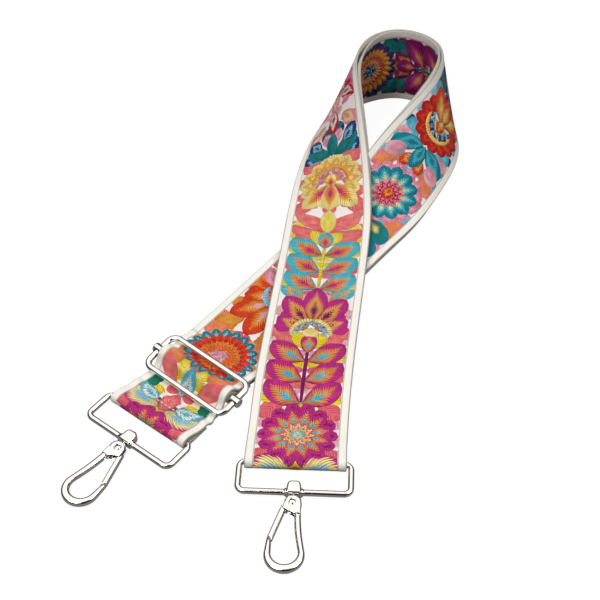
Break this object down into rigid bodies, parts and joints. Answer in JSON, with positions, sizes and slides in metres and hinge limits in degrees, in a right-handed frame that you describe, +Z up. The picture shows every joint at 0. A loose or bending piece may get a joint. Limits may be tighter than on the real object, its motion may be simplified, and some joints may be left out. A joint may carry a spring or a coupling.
{
  "type": "detachable bag strap",
  "caption": "Wide woven shoulder strap with an adjusting slider and a swivel snap hook at each end, lying in an open loop.",
  "frame": {"origin": "on the table under the middle of the whole strap's bounding box", "axes": "+Z up, +Y away from the viewer along the strap's length, +X to the viewer's right"},
  "size_m": [0.2149, 0.3704, 0.0538],
  "materials": {
    "band": "woven",
    "plated_metal": "polished",
    "spring_steel": "drawn wire"
  },
  "bodies": {
    "strap": {"band_main": "band", "band_ring_end": "band"},
    "slider_bar": {"slider_centre_bar": "plated_metal", "band_bight": "band", "band_sewn_end": "band"},
    "slider_frame": {"slider_frame": "plated_metal"},
    "right_ring": {"right_ring": "plated_metal"},
    "right_hook": {"right_hook_body": "plated_metal", "right_swivel_rivet": "plated_metal", "right_gate_pin": "plated_metal", "right_gate_spring": "spring_steel"},
    "right_gate": {"right_gate": "plated_metal"},
    "left_ring": {"left_ring": "plated_metal"},
    "left_hook": {"left_hook_body": "plated_metal", "left_swivel_rivet": "plated_metal", "left_gate_pin": "plated_metal", "left_gate_spring": "spring_steel"},
    "left_gate": {"left_gate": "plated_metal"}
  },
  "joints": [
    {"name": "slider_slide", "type": "slide", "parent": "strap", "child": "slider_bar", "axis": [0.6157, 0.788, 0], "range_m": [-0.002, 0.002], "deforming": ["band_bight", "band_sewn_end"]},
    {"name": "frame_slide", "type": "slide", "parent": "slider_bar", "child": "slider_frame", "axis": [0.6409, 0.7503, 0.1622], "range_m": [-0.0015, 0.0015]},
    {"name": "right_ring_hinge", "type": "hinge", "parent": "strap", "child": "right_ring", "pos_m": [0.00497, -0.1242, 0.0034], "axis": [-0.999, 0.0454, 0], "range_deg": [-150, 150]},
    {"name": "right_swivel", "type": "hinge", "parent": "right_ring", "child": "right_hook", "pos_m": [0.00419, -0.14138, 0.00313], "axis": [-0.0454, -0.9988, -0.0156], "continuous": true},
    {"name": "right_gate_hinge", "type": "hinge", "parent": "right_hook", "child": "right_gate", "pos_m": [0.0034, -0.14785, 0.00303], "axis": [-0.0007, -0.0156, 0.9999], "range_deg": [0, 28], "stiffness_Nm_per_rad": 0.02, "springref_deg": -17.19, "deforming": ["right_gate_spring"]},
    {"name": "left_ring_hinge", "type": "hinge", "parent": "strap", "child": "left_ring", "pos_m": [-0.06835, -0.09673, 0.0034], "axis": [-0.788, 0.6157, 0], "range_deg": [-150, 150]},
    {"name": "left_swivel", "type": "hinge", "parent": "left_ring", "child": "left_hook", "pos_m": [-0.07894, -0.11028, 0.00313], "axis": [-0.6156, -0.7879, -0.0156], "continuous": true},
    {"name": "left_gate_hinge", "type": "hinge", "parent": "left_hook", "child": "left_gate", "pos_m": [-0.08254, -0.11571, 0.00303], "axis": [0.0096, 0.0123, -0.9999], "range_deg": [0, 28], "stiffness_Nm_per_rad": 0.02, "springref_deg": -17.19, "deforming": ["left_gate_spring"]}
  ]
}
